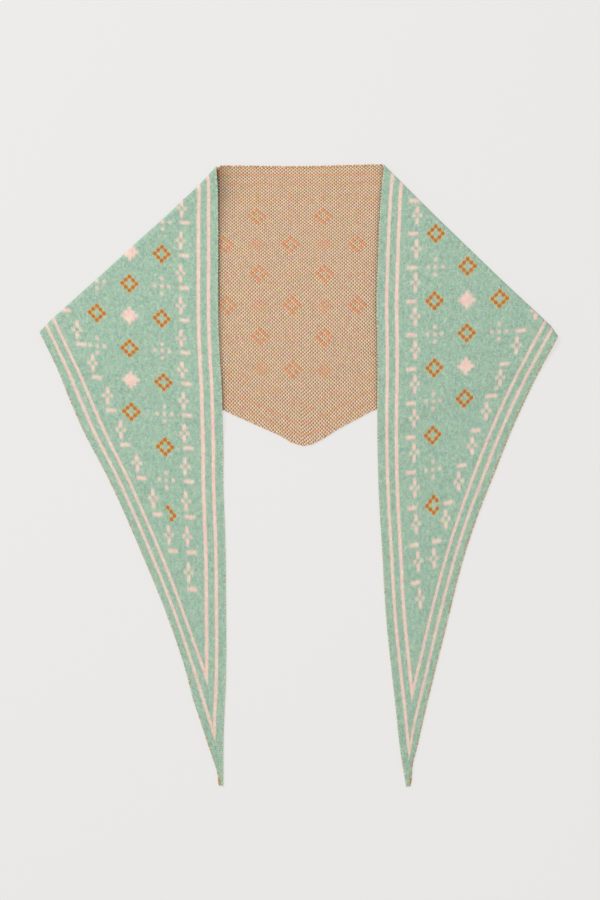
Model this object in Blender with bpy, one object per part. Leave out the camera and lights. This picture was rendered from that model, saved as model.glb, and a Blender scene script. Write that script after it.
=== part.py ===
"""Triangle shawl of double-knit cloth, laid flat with both ends folded forward.

The cloth is one long, shallow triangle. Its middle lies wrong side up. Each end
is turned over a slanting fold, lies on the middle right side up, and runs down
past it to a narrow point.

Lengths are in millimetres and become metres where a mesh is made. The origin is
the middle of the laid shawl's box, on the surface that it rests on. +X is to the
right, +Y towards the long edge and +Z up.
"""

import math
from dataclasses import dataclass
from typing import NamedTuple

import bmesh
import bpy
from mathutils import Vector

MM = 0.001

# Cloth
WALL = 2.6          # thickness of the double-knit cloth
GAP = 0.3           # clearance between layers, and between pieces at a seam

# Folds
BEND_RISE = 4.6     # height between the cloth's two mid-surfaces at a rolled fold
BEND_STEPS = 8      # facets round a rolled fold
SETTLE = 26.0       # distance from a fold over which an end comes down on the layer below
LIP = 9.0           # width of the strip of the lower layer that is part of an end's fold

# Past the lower layer, an end comes down to the surface
DROP_START = 11.0   # distance past the lower layer's edge at which it starts down
DROP = 24.0         # distance over which it comes down

# Divisions of an end's mesh
COLUMNS = 16        # across
UPPER_ROWS = 30     # along its upper part, which crosses the lower layer's edge
LOWER_ROWS = 14     # along the rest, down to the point
UPPER_SHARE = 0.52  # share of its length that the upper part takes


class Station(NamedTuple):
    """A point on the laid outline, seen from above."""

    x: float
    y: float


@dataclass(frozen=True)
class End:
    """One folded end, by the two edges that run from its fold down to its point."""

    name: str
    side: int           # -1 on the left, 1 on the right
    long_edge: tuple
    leg_edge: tuple

    @property
    def fold_top(self):
        """The fold's upper end, on the long edge."""
        return Vector(self.long_edge[0])

    @property
    def fold_corner(self):
        """The fold's lower end, at the shawl's outer corner."""
        return Vector(self.leg_edge[0])

    @property
    def inward(self):
        """Unit vector from the fold into the laid end, square to the fold."""
        along = (self.fold_corner - self.fold_top).normalized()
        return Vector((along.y, -along.x)) * self.side


# The lower layer: its upper edge sags a little between the folds
LOWER_UPPER_EDGE = (
    # x, y
    Station(-97.0, 375.0),
    Station(-47.0, 373.5),
    Station(2.0, 372.5),
    Station(53.0, 374.0),
    Station(104.5, 376.5),
)
APEX = Station(5.0, 36.0)
APEX_ROUNDING = 9.0     # distance from the apex at which its rounding starts

LEFT_END = End(
    name="left_end",
    side=-1,
    long_edge=(
        # x, y
        Station(-97.0, 375.0),
        Station(-100.0, 345.0),
        Station(-100.0, 272.0),
        Station(-99.0, 176.0),
        Station(-94.0, 133.0),
        Station(-91.5, 91.0),
        Station(-91.0, -6.0),
        Station(-89.0, -130.0),
        Station(-88.5, -260.0),
        Station(-91.5, -320.0),
        Station(-92.5, -375.5),
    ),
    leg_edge=(
        # x, y
        Station(-313.5, 173.5),
        Station(-294.0, 133.0),
        Station(-261.5, 61.0),
        Station(-227.0, -11.0),
        Station(-188.5, -98.0),
        Station(-159.0, -170.5),
        Station(-135.0, -243.0),
        Station(-117.0, -316.0),
        Station(-103.0, -350.0),
        Station(-97.0, -376.5),
    ),
)

RIGHT_END = End(
    name="right_end",
    side=1,
    long_edge=(
        # x, y
        Station(104.5, 376.5),
        Station(99.5, 302.5),
        Station(96.5, 212.0),
        Station(95.5, 115.0),
        Station(94.5, 42.5),
        Station(99.5, -66.5),
        Station(107.0, -180.5),
        Station(121.0, -318.0),
        Station(131.0, -375.5),
    ),
    leg_edge=(
        # x, y
        Station(313.5, 167.0),
        Station(282.0, 113.0),
        Station(256.0, 54.5),
        Station(236.0, 1.0),
        Station(204.5, -82.5),
        Station(176.5, -193.5),
        Station(149.0, -305.0),
        Station(136.5, -369.0),
        Station(134.5, -376.5),
    ),
)


def smooth(t):
    """Ease from 0 to 1 as t goes from 0 to 1."""
    t = min(max(t, 0.0), 1.0)
    return t * t * (3.0 - 2.0 * t)


def point_on(stations, share):
    """Point at a share of the length of the smooth curve through the stations."""
    points = [Vector(station) for station in stations]
    spans = [(end - start).length for start, end in zip(points, points[1:])]
    distance = share * sum(spans)
    index = 0
    while index < len(spans) - 1 and distance > spans[index]:
        distance -= spans[index]
        index += 1
    t = distance / spans[index]
    start, end = points[index], points[index + 1]
    before = points[index - 1] if index else start * 2.0 - end
    after = points[index + 2] if index + 2 < len(points) else end * 2.0 - start
    return 0.5 * (
        start * 2.0
        + (end - before) * t
        + (before * 2.0 - start * 5.0 + end * 4.0 - after) * t ** 2
        + (start * 3.0 - before - end * 3.0 + after) * t ** 3
    )


def at_distance(end, origin, direction, distance):
    """Point on the line from origin that lies at a distance from the end's fold."""
    direction = direction.normalized()
    return origin + direction * (distance / end.inward.dot(direction))


def lower_edges(end):
    """Directions of the lower layer's upper edge and leg edge, from the end's fold."""
    stations = LOWER_UPPER_EDGE[::-end.side]
    return Vector(stations[1]) - Vector(stations[0]), Vector(APEX) - end.fold_corner


def upper_edges(end):
    """Directions of the laid end's long edge and leg edge, from its fold."""
    return Vector(end.long_edge[1]) - end.fold_top, Vector(end.leg_edge[1]) - end.fold_corner


def lower_corners(end, distance):
    """Upper and lower ends of the line on the lower layer at a distance from the fold."""
    top, leg = lower_edges(end)
    return (
        at_distance(end, end.fold_top, top, distance),
        at_distance(end, end.fold_corner, leg, distance),
    )


def end_height(end, point):
    """Height of a laid end's mid-surface at a point of its plan."""
    leg = lower_edges(end)[1].normalized()
    outward = Vector((leg.y, -leg.x)) * -end.side
    past_edge = outward.dot(point - end.fold_corner)
    drop = smooth((past_edge - DROP_START) / DROP)
    from_fold = end.inward.dot(point - end.fold_top) - (WALL + BEND_RISE) / 2.0
    settled = smooth(from_fold / SETTLE)
    bulge = (BEND_RISE - WALL - GAP) * (1.0 - settled)
    return WALL / 2.0 + (WALL + GAP) * (1.0 - drop) + bulge


def row_points(start, finish):
    """Evenly spaced plan points from start to finish, one for each column."""
    return [start.lerp(finish, column / COLUMNS) for column in range(COLUMNS + 1)]


def bend_rows(end):
    """Rows of (mid point, normal) for the lip and round the rolled fold."""
    down, up = Vector((0.0, 0.0, -1.0)), Vector((0.0, 0.0, 1.0))
    rows = [
        [(point.to_3d() + up * WALL / 2.0, down) for point in row_points(*lower_corners(end, LIP))]
    ]
    radius = BEND_RISE / 2.0
    for step in range(BEND_STEPS + 1):
        angle = math.pi * (step / BEND_STEPS - 0.5)
        distance = WALL / 2.0 + radius * (1.0 - math.cos(angle))
        height = WALL / 2.0 + radius * (1.0 + math.sin(angle))
        turned = (1.0 + math.sin(angle)) / 2.0
        top, leg = (
            lower.normalized().lerp(upper.normalized(), turned)
            for lower, upper in zip(lower_edges(end), upper_edges(end))
        )
        start = at_distance(end, end.fold_top, top, distance)
        finish = at_distance(end, end.fold_corner, leg, distance)
        normal = end.inward.to_3d() * -math.cos(angle) + up * math.sin(angle)
        rows.append([(point.to_3d() + up * height, normal) for point in row_points(start, finish)])
    return rows


def laid_rows(end):
    """Rows of (mid point, normal) for the end as it lies, from its fold to its point."""
    up = Vector((0.0, 0.0, 1.0))
    shares = [UPPER_SHARE * row / UPPER_ROWS for row in range(1, UPPER_ROWS + 1)]
    shares += [
        UPPER_SHARE + (1.0 - UPPER_SHARE) * row / LOWER_ROWS for row in range(1, LOWER_ROWS + 1)
    ]
    rows = []
    for share in shares:
        points = row_points(point_on(end.long_edge, share), point_on(end.leg_edge, share))
        rows.append([(point.to_3d() + up * end_height(end, point), up) for point in points])
    return rows


def wall_mesh(name, rows):
    """Closed wall of the cloth's thickness about rows of (mid point, normal)."""
    bm = bmesh.new()
    skins = []
    for offset in (WALL / 2.0, -WALL / 2.0):
        skins.append([
            [bm.verts.new((point + normal * offset) * MM) for point, normal in row] for row in rows
        ])
    last_row, last_column = len(rows) - 1, COLUMNS
    for skin in skins:
        for row in range(last_row):
            for column in range(last_column):
                bm.faces.new((
                    skin[row][column],
                    skin[row][column + 1],
                    skin[row + 1][column + 1],
                    skin[row + 1][column],
                ))
    rim = [(0, column) for column in range(last_column)]
    rim += [(row, last_column) for row in range(last_row)]
    rim += [(last_row, column) for column in range(last_column, 0, -1)]
    rim += [(row, 0) for row in range(last_row, 0, -1)]
    outer, inner = skins
    for (row, column), (next_row, next_column) in zip(rim, rim[1:] + rim[:1]):
        bm.faces.new((
            outer[row][column],
            outer[next_row][next_column],
            inner[next_row][next_column],
            inner[row][column],
        ))
    bmesh.ops.recalc_face_normals(bm, faces=bm.faces)
    mesh = bpy.data.meshes.new(name)
    bm.to_mesh(mesh)
    bm.free()
    return mesh


def centre_outline():
    """Plan outline of the centre panel, between its seams with the two folds."""
    left_top, left_leg = lower_corners(LEFT_END, LIP + GAP)
    right_top, right_leg = lower_corners(RIGHT_END, LIP + GAP)
    apex = Vector(APEX)
    to_right = apex + (right_leg - apex).normalized() * APEX_ROUNDING
    to_left = apex + (left_leg - apex).normalized() * APEX_ROUNDING
    tip = (to_right + to_left + apex * 2.0) / 4.0
    upper = [Vector(station) for station in LOWER_UPPER_EDGE[1:-1]]
    return [left_top, *upper, right_top, right_leg, to_right, tip, to_left, left_leg]


def centre_mesh(name):
    """Flat wall on the centre panel's outline, extruded up from the surface."""
    bm = bmesh.new()
    base = bm.faces.new([bm.verts.new(point.to_3d() * MM) for point in centre_outline()])
    raised = bmesh.ops.extrude_face_region(bm, geom=[base])
    corners = [item for item in raised["geom"] if isinstance(item, bmesh.types.BMVert)]
    bmesh.ops.translate(bm, verts=corners, vec=(0.0, 0.0, WALL * MM))
    bmesh.ops.recalc_face_normals(bm, faces=bm.faces)
    mesh = bpy.data.meshes.new(name)
    bm.to_mesh(mesh)
    bm.free()
    return mesh


def cloth_material(name, colour):
    """Matte knitted cloth of one colour."""
    material = bpy.data.materials.new(name)
    material.use_nodes = True
    shader = material.node_tree.nodes["Principled BSDF"]
    shader.inputs["Base Color"].default_value = (*colour, 1.0)
    shader.inputs["Roughness"].default_value = 0.9
    shader.inputs["Metallic"].default_value = 0.0
    return material


def add_piece(name, mesh, material):
    """Object of one cloth piece, shaded smooth but for its rims."""
    mesh.materials.append(material)
    mesh.shade_smooth()
    mesh.set_sharp_from_angle(angle=math.radians(40.0))
    bpy.context.collection.objects.link(bpy.data.objects.new(name, mesh))


def main():
    """Build the centre panel and the two folded ends."""
    for leftover in list(bpy.data.objects):
        bpy.data.objects.remove(leftover)
    wrong_side = cloth_material("peach wrong side", (0.61, 0.42, 0.26))
    add_piece("centre_panel", centre_mesh("centre_panel"), wrong_side)
    for end in (LEFT_END, RIGHT_END):
        right_side = cloth_material(f"mint right side of {end.name}", (0.38, 0.51, 0.40))
        rows = bend_rows(end) + laid_rows(end)
        add_piece(end.name, wall_mesh(end.name, rows), right_side)


main()
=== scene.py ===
"""Looks of the triangle shawl: knitted cloth, edge yarns, floor, light and camera.

Each sheet of cloth is built stitch by stitch on one knitting chart. A course is a row
of stitches across the shawl and a wale is a line of stitches along it, counted from
the long edge. A plan lays the chart out on the surface, and a fold turns it over.

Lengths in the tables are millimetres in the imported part's own frame: the origin is in
the middle of the laid shawl's box, +X to the right and +Y towards the long edge.
"""

import logging
import math
from dataclasses import dataclass, field
from enum import Enum
from typing import NamedTuple

import bpy
import numpy as np
from mathutils import Matrix, Vector
from mathutils.geometry import delaunay_2d_cdt


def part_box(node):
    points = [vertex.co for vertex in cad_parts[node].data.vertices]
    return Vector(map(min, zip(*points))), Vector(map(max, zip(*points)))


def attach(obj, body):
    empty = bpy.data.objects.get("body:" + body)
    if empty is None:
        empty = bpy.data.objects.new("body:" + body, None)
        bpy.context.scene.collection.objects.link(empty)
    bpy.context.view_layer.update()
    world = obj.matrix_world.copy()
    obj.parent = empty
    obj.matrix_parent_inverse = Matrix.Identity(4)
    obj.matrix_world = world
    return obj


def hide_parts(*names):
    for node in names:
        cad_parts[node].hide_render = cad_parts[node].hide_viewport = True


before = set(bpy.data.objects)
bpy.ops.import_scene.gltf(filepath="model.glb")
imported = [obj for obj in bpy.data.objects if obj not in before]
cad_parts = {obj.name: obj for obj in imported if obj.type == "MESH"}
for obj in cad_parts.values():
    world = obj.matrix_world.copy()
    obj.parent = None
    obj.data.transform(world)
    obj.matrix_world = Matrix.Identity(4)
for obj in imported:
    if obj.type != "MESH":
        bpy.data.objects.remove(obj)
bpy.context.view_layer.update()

LOG = logging.getLogger("shawl")
MM = 0.001
MIX = (0.33, 0.33, 0.0, 0.0)
EDGE_MIX = (0.1, 0.1, 0.0, 0.0)
STITCH_DATA = ("blush", "ochre", "tone", "ghost")
LEG_CODE = 500
LEG_CODE_SPAN = 512
SEED = 20
MOST_WALES = 170
STEP_SPAN = 10000
WALE_SPAN = 1000


class Station(NamedTuple):
    """A point of an edge, seen from above."""

    x: float
    y: float


class RowStation(NamedTuple):
    """Where a course meets the long edge of a laid end, and its row's slope and width."""

    course: float
    x: float
    y: float
    slope: float
    stretch: float = 1.0


class WaleStation(NamedTuple):
    """How a wale lies on the lower layer, at its middle course."""

    wale: float
    x: float
    y: float
    pitch: float


class Yarn(Enum):
    """What a stitch is knitted in."""

    MINT = 0
    BLUSH = 1
    OCHRE = 2


class Face(Enum):
    """The two faces of the double knit, as material numbers."""

    RIGHT = 0
    WRONG = 1


class Side(Enum):
    """Which end of the shawl a sheet is."""

    LEFT = -1
    RIGHT = 1


class Motif(Enum):
    """Small motifs of the chart, as (course, wale) cells from their middles."""

    DASH = ((0, -1), (0, 0), (0, 1))
    FLOWER = ((-2, 0), (-1, 0), (1, 0), (2, 0), (0, -1), (0, 1))

def through(knots: np.ndarray, values: np.ndarray, at: np.ndarray) -> np.ndarray:
    """Read a smooth curve through a table, which goes on straight past its two ends.

    Args:
        knots: The table's rising first column.
        values: Its second column.
        at: Where to read it.

    Returns:
        The values there.
    """
    slopes = np.gradient(values, knots)
    inside = np.clip(at, knots[0], knots[-1])
    index = np.clip(np.searchsorted(knots, inside) - 1, 0, len(knots) - 2)
    span = knots[index + 1] - knots[index]
    t = (inside - knots[index]) / span
    start, rise = values[index], values[index + 1] - values[index]
    first, last = slopes[index] * span, slopes[index + 1] * span
    curve = start + first * t + (3.0 * rise - 2.0 * first - last) * t ** 2
    curve = curve + (first + last - 2.0 * rise) * t ** 3
    past = at - inside
    return curve + past * np.where(past < 0.0, slopes[0], slopes[-1])


def ease(t: np.ndarray) -> np.ndarray:
    """Ease from 0 to 1 as t goes from 0 to 1."""
    t = np.clip(t, 0.0, 1.0)
    return t * t * (3.0 - 2.0 * t)


def linear(red: int, green: int, blue: int) -> tuple[float, float, float, float]:
    """Turn a screen colour of 0 to 255 into the linear colour that a node takes."""
    def channel(value: int) -> float:
        """One channel, by the screen's own curve."""
        share = value / 255.0
        return share / 12.92 if share <= 0.04045 else ((share + 0.055) / 1.055) ** 2.4
    return (channel(red), channel(green), channel(blue), 1.0)


def clear_selection() -> None:
    """Leave nothing selected, so that an operator acts on new work alone."""
    bpy.ops.object.select_all(action="DESELECT")


def pairs(first: np.ndarray, second: np.ndarray) -> tuple[np.ndarray, np.ndarray]:
    """Pair each number of one range with each of another, as two flat arrays."""
    first, second = np.meshgrid(first, second, indexing="ij")
    return first.ravel(), second.ravel()


def winding(corners: np.ndarray) -> np.ndarray:
    """Tell which way round triangles go, seen from above: above 0 for anticlockwise."""
    return np.cross(corners[:, 1] - corners[:, 0], corners[:, 2] - corners[:, 0])[:, 2]


@dataclass(frozen=True)
class Cloth:
    """Sizes of the double knit and of how it folds."""

    wall: float
    layer_gap: float = 0.3
    bend_rise: float = 4.6
    settle: float = 26.0
    drop_start: float = 11.0
    drop: float = 24.0
    valley: float = 0.32
    crown: float = 0.15

    @property
    def bend_radius(self) -> float:
        """Radius of the middle of the wall round a fold."""
        return self.bend_rise / 2.0

    @property
    def bend_start(self) -> float:
        """Distance from a fold's outer face to where the bend starts."""
        return self.wall / 2.0 + self.bend_radius


@dataclass(frozen=True)
class KnitChart:
    """Chart of the right side: striped borders, small border motifs and a lattice."""

    left_tip: float = -294.75
    right_tip: float = 448.9
    middle: float = 72.0
    taper: float = 4.0 / 9.0
    tip_wales: float = 3.0
    band: int = 14
    repeat: int = 18
    stripe_wales: tuple = (5, 6, 11, 12)
    border_wales: int = 27
    dash_wale: int = 20
    flower_wale: int = 22
    flower_course: int = 8
    lattice_wale: int = 33
    lattice_columns: int = 6
    merge_wales: int = 7
    # First and last repeats whose motifs by the leg edge sit a wale further to the left
    nudged: tuple = ((-40, -7), (12, 13))
    # Repeat and column of the cross at the right of which only a part shows
    half_plus: tuple = (14, 2)
    blush_bleed: float = 0.1
    ochre_bleed: float = 0.8
    lone: float = 0.76
    selvedge: float = 0.15

    def wales(self, course: np.ndarray) -> np.ndarray:
        """Number of wales in a course, from the long edge to the leg edge."""
        near = np.minimum(course - self.left_tip, self.right_tip - course)
        return np.maximum(self.taper * near, self.tip_wales)

    def columns(self, course: np.ndarray) -> np.ndarray:
        """Number of stitches in a row."""
        return np.ceil(self.wales(course + 1.0) - 0.05).astype(int)

    def along_leg(self, course: np.ndarray) -> np.ndarray:
        """How many stitches of a row run along the leg edge, and not straight."""
        return np.minimum(self.band, (self.columns(course) + 1) // 2)

    def limits(self, course: np.ndarray) -> tuple[np.ndarray, np.ndarray]:
        """Last straight line and last leg line of stitches that go on past a row's start."""
        before, after = self.along_leg(course - 1), self.along_leg(course)
        straight = np.minimum(self.columns(course - 1) - before, self.columns(course) - after)
        return straight, np.minimum(before, after) - 1

    def trimmed(self, course: np.ndarray, wale: np.ndarray) -> np.ndarray:
        """Wales with what passes the leg edge pressed up against it, as a selvedge does."""
        count = self.wales(course)
        return np.where(wale > count, count + self.selvedge * (wale - count), wale)

    def cells(self, course: np.ndarray, wale: np.ndarray, shift: int, middle: np.ndarray) -> tuple:
        """Cell numbers of stitches from the nearest repeat of a motif.

        Args:
            course: Course numbers of the stitches.
            wale: Wale numbers of the stitches.
            shift: Course of the motif within the repeat.
            middle: Wale of the motif's middle.

        Returns:
            Cells along the courses, cells across the wales, and the repeat's number.
        """
        number = np.floor((course + 0.5 - shift) / self.repeat + 0.5)
        along = np.floor((course + 1 - shift - self.repeat * number) / 2.0)
        across = np.floor((wale + 1 - middle) / 2.0)
        return along, across, number

    def border(self, course: np.ndarray, wale: np.ndarray, side: Side) -> np.ndarray:
        """Mask of the small motifs that follow the long edge and the leg edge.

        Args:
            course: Course numbers of the stitches.
            wale: Wale numbers of the stitches.
            side: Which end they are in.

        Returns:
            True for each stitch of a motif.
        """
        inset = {Side.LEFT: (21.0, 22.5), Side.RIGHT: (21.5, 20.0)}[side]
        rows = ((Motif.DASH, 0, self.dash_wale, inset[0]),
                (Motif.FLOWER, self.flower_course, self.flower_wale, inset[1]))
        first, last = self.nudged[side is Side.RIGHT]
        mask = np.zeros(course.shape, dtype=bool)
        for motif, shift, long_wale, from_leg in rows:
            number = np.floor((course + 0.5 - shift) / self.repeat + 0.5)
            count = self.wales(number * self.repeat + shift)
            leg_wale = 2.0 * np.round((count - from_leg) / 2.0)
            leg_wale = leg_wale - side.value * ((number >= first) & (number <= last))
            meets = (leg_wale >= long_wale) & (leg_wale < long_wale + self.merge_wales)
            leg_wale = np.where(meets, long_wale, leg_wale)
            for middle in (np.full(course.shape, float(long_wale)), leg_wale):
                along, across, _ = self.cells(course, wale, shift, middle)
                room = count > self.border_wales + middle - (middle == leg_wale) * middle
                room &= middle >= self.dash_wale
                for cell_along, cell_across in motif.value:
                    mask |= (along == cell_along) & (across == cell_across) & room
        return mask

    def lattice(self, course: np.ndarray, wale: np.ndarray, side: Side) -> np.ndarray:
        """Yarn of the lattice of diamonds, crosses and stars, and MINT between them.

        Args:
            course: Course numbers of the stitches.
            wale: Wale numbers of the stitches.
            side: Which end they are in.

        Returns:
            A Yarn number for each stitch.
        """
        margin, cell_margin = {Side.LEFT: (25.0, 25.9), Side.RIGHT: (29.5, 27.0)}[side]
        column = np.round((wale + 0.5 - self.lattice_wale) / self.repeat)
        column = np.clip(column, 0, self.lattice_columns - 1)
        middle = self.lattice_wale + self.repeat * column
        along, across, number = self.cells(course, wale, 0, middle)
        ring = np.abs(along) + np.abs(across)
        count = self.wales(number * self.repeat + 2.0 * along)
        shown = (middle + 2.0 * across < count - cell_margin) & (ring <= 2)
        shown &= middle < self.wales(number * self.repeat) - margin
        half = (number == self.half_plus[0]) & (column == self.half_plus[1])
        shown |= half & (side is Side.RIGHT) & (across == 0) & (along <= 0)
        diamond = (column + number) % 2 == 1
        star = ~diamond & (column % 2 == 1)
        cross = ~diamond & ~star & ((ring == 0) | ((ring == 2) & (along * across == 0)))
        yarn = np.where(diamond & (ring == 2), Yarn.OCHRE.value, Yarn.MINT.value)
        yarn = np.where(star | cross, Yarn.BLUSH.value, yarn)
        return np.where(shown, yarn, Yarn.MINT.value)

    def right_side(self, course: np.ndarray, wale: np.ndarray, side: Side) -> np.ndarray:
        """Yarn of each stitch of the right side.

        Args:
            course: Course numbers of the stitches.
            wale: Wale numbers of the stitches.
            side: Which end they are in.

        Returns:
            A Yarn number for each stitch.
        """
        yarn = self.lattice(course, wale, side)
        yarn = np.where(self.border(course, wale, side), Yarn.BLUSH.value, yarn)
        from_leg = self.columns(course) - 1 - wale
        striped = np.isin(np.minimum(wale, from_leg), self.stripe_wales)
        return np.where(striped, Yarn.BLUSH.value, yarn)

    def whole(self, course: np.ndarray, wale: np.ndarray) -> np.ndarray:
        """Yarn of stitches anywhere along the shawl, on the right side."""
        sides = [self.right_side(course, wale, side) for side in Side]
        return np.where(course < (self.left_tip + self.right_tip) / 2.0, *sides)

    def shares(
        self, course: np.ndarray, wale: np.ndarray, side: Side, rng: np.random.Generator
    ) -> np.ndarray:
        """Shares of blush and ochre in stitches, with fibres from their neighbours.

        Args:
            course: Course numbers of the stitches.
            wale: Wale numbers of the stitches.
            side: Which end they are in.
            rng: The source of their tones.

        Returns:
            Rows of STITCH_DATA.
        """
        columns = []
        for yarn, bleed in ((Yarn.BLUSH, self.blush_bleed), (Yarn.OCHRE, self.ochre_bleed)):
            around = [
                self.right_side(course + up, wale + over, side) == yarn.value
                for up, over in ((0, 1), (0, -1), (1, 0), (-1, 0))
            ]
            own = self.right_side(course, wale, side) == yarn.value
            near = np.mean(around, axis=0)
            if yarn is Yarn.BLUSH:
                own = own * np.clip(self.lone + (1.0 - self.lone) * (near - 0.5) * 4.0, 0.0, 1.0)
            columns.append(np.maximum(own, bleed * near))
        columns += [rng.normal(0.0, 1.0, len(course)), np.zeros(len(course))]
        return np.stack(columns, axis=1)

    def birdseye(self, wale: np.ndarray, step: np.ndarray) -> np.ndarray:
        """Yarn of each stitch of the wrong side, which takes the yarns in turn.

        Args:
            wale: Wale numbers of the stitches.
            step: Third-courses at which the stitches start.

        Returns:
            A Yarn number for each stitch.
        """
        first = np.array([Yarn.MINT.value, Yarn.OCHRE.value, Yarn.BLUSH.value])
        second = np.array([Yarn.BLUSH.value, Yarn.MINT.value, Yarn.OCHRE.value])
        turn = (step // 2) % 3
        return np.where(wale % 2 == 0, first[turn], second[turn])


@dataclass
class Shell:
    """A closed sheet under construction: points, and triangles with their stitch data."""

    points: list = field(default_factory=list)
    triangles: list = field(default_factory=list)
    stitches: list = field(default_factory=list)
    faces: list = field(default_factory=list)
    crowns: list = field(default_factory=list)
    size: int = 0

    def add_points(self, points: np.ndarray, crown: bool = False) -> np.ndarray:
        """Add points in millimetres.

        Args:
            points: Rows of x, y and z.
            crown: Whether they are the raised middles of stitches.

        Returns:
            Their numbers.
        """
        numbers = np.arange(self.size, self.size + len(points))
        self.points.append(points)
        self.crowns.append(np.full(len(points), crown))
        self.size += len(points)
        return numbers

    def add_triangles(self, triangles: np.ndarray, stitches: np.ndarray, face: Face) -> None:
        """Add triangles.

        Args:
            triangles: Rows of three point numbers.
            stitches: STITCH_DATA of each triangle's corners, of each triangle, or of all.
            face: The cloth's face that they belong to.
        """
        whole = np.all(triangles != np.roll(triangles, 1, axis=1), axis=1)
        data = stitches[:, None] if stitches.ndim == 2 else stitches
        self.triangles.append(triangles[whole])
        self.stitches.append(np.broadcast_to(data, (len(triangles), 3, len(STITCH_DATA)))[whole])
        self.faces.append(np.full(np.count_nonzero(whole), face.value))

    def outline(self, first: int, last: int | None = None) -> list[int]:
        """Point numbers round the rim of some groups of triangles.

        Args:
            first: The first group.
            last: The group after the last.

        Returns:
            The loop of point numbers, in the triangles' own direction.
        """
        triangles = np.concatenate(self.triangles[first:last])
        edges = np.concatenate([triangles[:, [0, 1]], triangles[:, [1, 2]], triangles[:, [2, 0]]])
        forward = edges[:, 0] * self.size + edges[:, 1]
        backward = edges[:, 1] * self.size + edges[:, 0]
        rim = edges[~np.isin(forward, backward)]
        following = dict(rim.tolist())
        loop = [int(rim[0, 0])]
        while following[loop[-1]] != loop[0]:
            loop.append(following[loop[-1]])
        if len(loop) != len(following):
            raise ValueError(f"the rim is in pieces: {len(loop)} of {len(following)} points")
        return loop

    def nearest(self, loop: list[int], point: np.ndarray) -> int:
        """Place in a loop of the point nearest to a given one in plan."""
        points = np.concatenate(self.points)[loop]
        return int(np.argmin(np.hypot(points[:, 0] - point[0], points[:, 1] - point[1])))

    def enclosed(self, loop: list[int]) -> float:
        """Twice the signed area inside a loop, seen from above."""
        x, y = np.concatenate(self.points)[loop][:, :2].T
        return float(np.sum(x * np.roll(y, -1) - y * np.roll(x, -1)))

    def seal(self, upper_groups: int, stitches: tuple, face: Face) -> None:
        """Turn the two faces away from each other, and close the wall between their rims.

        Args:
            upper_groups: How many groups of triangles the upper face has.
            stitches: The wall's STITCH_DATA.
            face: The cloth's face that the wall is finished as.
        """
        upper, lower = self.outline(0, upper_groups), self.outline(upper_groups)
        if self.enclosed(upper) * self.enclosed(lower) < 0.0:
            lower = lower[::-1]
        else:
            self.triangles[upper_groups:] = [group[:, ::-1] for group in self.triangles[upper_groups:]]
        self.close(upper, lower, stitches, face)

    def close(self, upper: list[int], lower: list[int], stitches: tuple, face: Face) -> None:
        """Join two rims, which run the same way, by a band of triangles.

        Args:
            upper: Loop of point numbers round the upper face.
            lower: Loop of point numbers round the lower face.
            stitches: The band's STITCH_DATA.
            face: The cloth's face that it is finished as.
        """
        points = np.concatenate(self.points)
        start = self.nearest(lower, points[upper[0]])
        lower = lower[start:] + lower[:start]
        upper, lower = upper + upper[:1], lower + lower[:1]
        above, below = points[upper], points[lower]
        i, j, band = 0, 0, []
        while i < len(upper) - 1 or j < len(lower) - 1:
            over = j == len(lower) - 1 or (
                i < len(upper) - 1
                and np.sum((above[i + 1] - below[j]) ** 2) <= np.sum((above[i] - below[j + 1]) ** 2)
            )
            third = upper[i + 1] if over else lower[j + 1]
            band.append((third, lower[j], upper[i]))
            i, j = (i + 1, j) if over else (i, j + 1)
        self.add_triangles(np.array(band), np.array(stitches), face)

    def build(self, name: str, unwrap: "Unwrap") -> bpy.types.Object:
        """Make the object, with its faces outwards and its stitch data on its corners.

        Args:
            name: The object's name.
            unwrap: How its faces are laid out for baking.

        Returns:
            The new object, at the origin.
        """
        points = np.concatenate(self.points) * MM
        triangles, stitches = np.concatenate(self.triangles), np.concatenate(self.stitches)
        corners = points[triangles]
        volume = np.einsum("ij,ij->i", corners[:, 0], np.cross(corners[:, 1], corners[:, 2])).sum()
        if volume < 0.0:
            triangles, stitches = triangles[:, ::-1], stitches[:, ::-1]
        mesh = bpy.data.meshes.new(name)
        mesh.vertices.add(len(points))
        mesh.vertices.foreach_set("co", points.ravel())
        mesh.loops.add(triangles.size)
        mesh.loops.foreach_set("vertex_index", triangles.ravel())
        mesh.polygons.add(len(triangles))
        mesh.polygons.foreach_set("loop_start", np.arange(len(triangles)) * 3)
        mesh.polygons.foreach_set("material_index", np.concatenate(self.faces))
        mesh.update(calc_edges=True)
        for place, attribute in enumerate(STITCH_DATA):
            layer = mesh.attributes.new(attribute, "FLOAT", "CORNER")
            layer.data.foreach_set("value", stitches[..., place].ravel())
        ends = np.empty(len(mesh.edges) * 2, dtype=int)
        mesh.edges.foreach_get("vertices", ends)
        crown = np.concatenate(self.crowns)[ends.reshape(-1, 2)].any(axis=1)
        sharp = mesh.attributes.new("sharp_edge", "BOOLEAN", "EDGE")
        sharp.data.foreach_set("value", ~crown)
        unwrap.lay_out(mesh)
        mesh.validate()
        sheet = bpy.data.objects.new(name, mesh)
        bpy.context.collection.objects.link(sheet)
        return sheet


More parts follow.
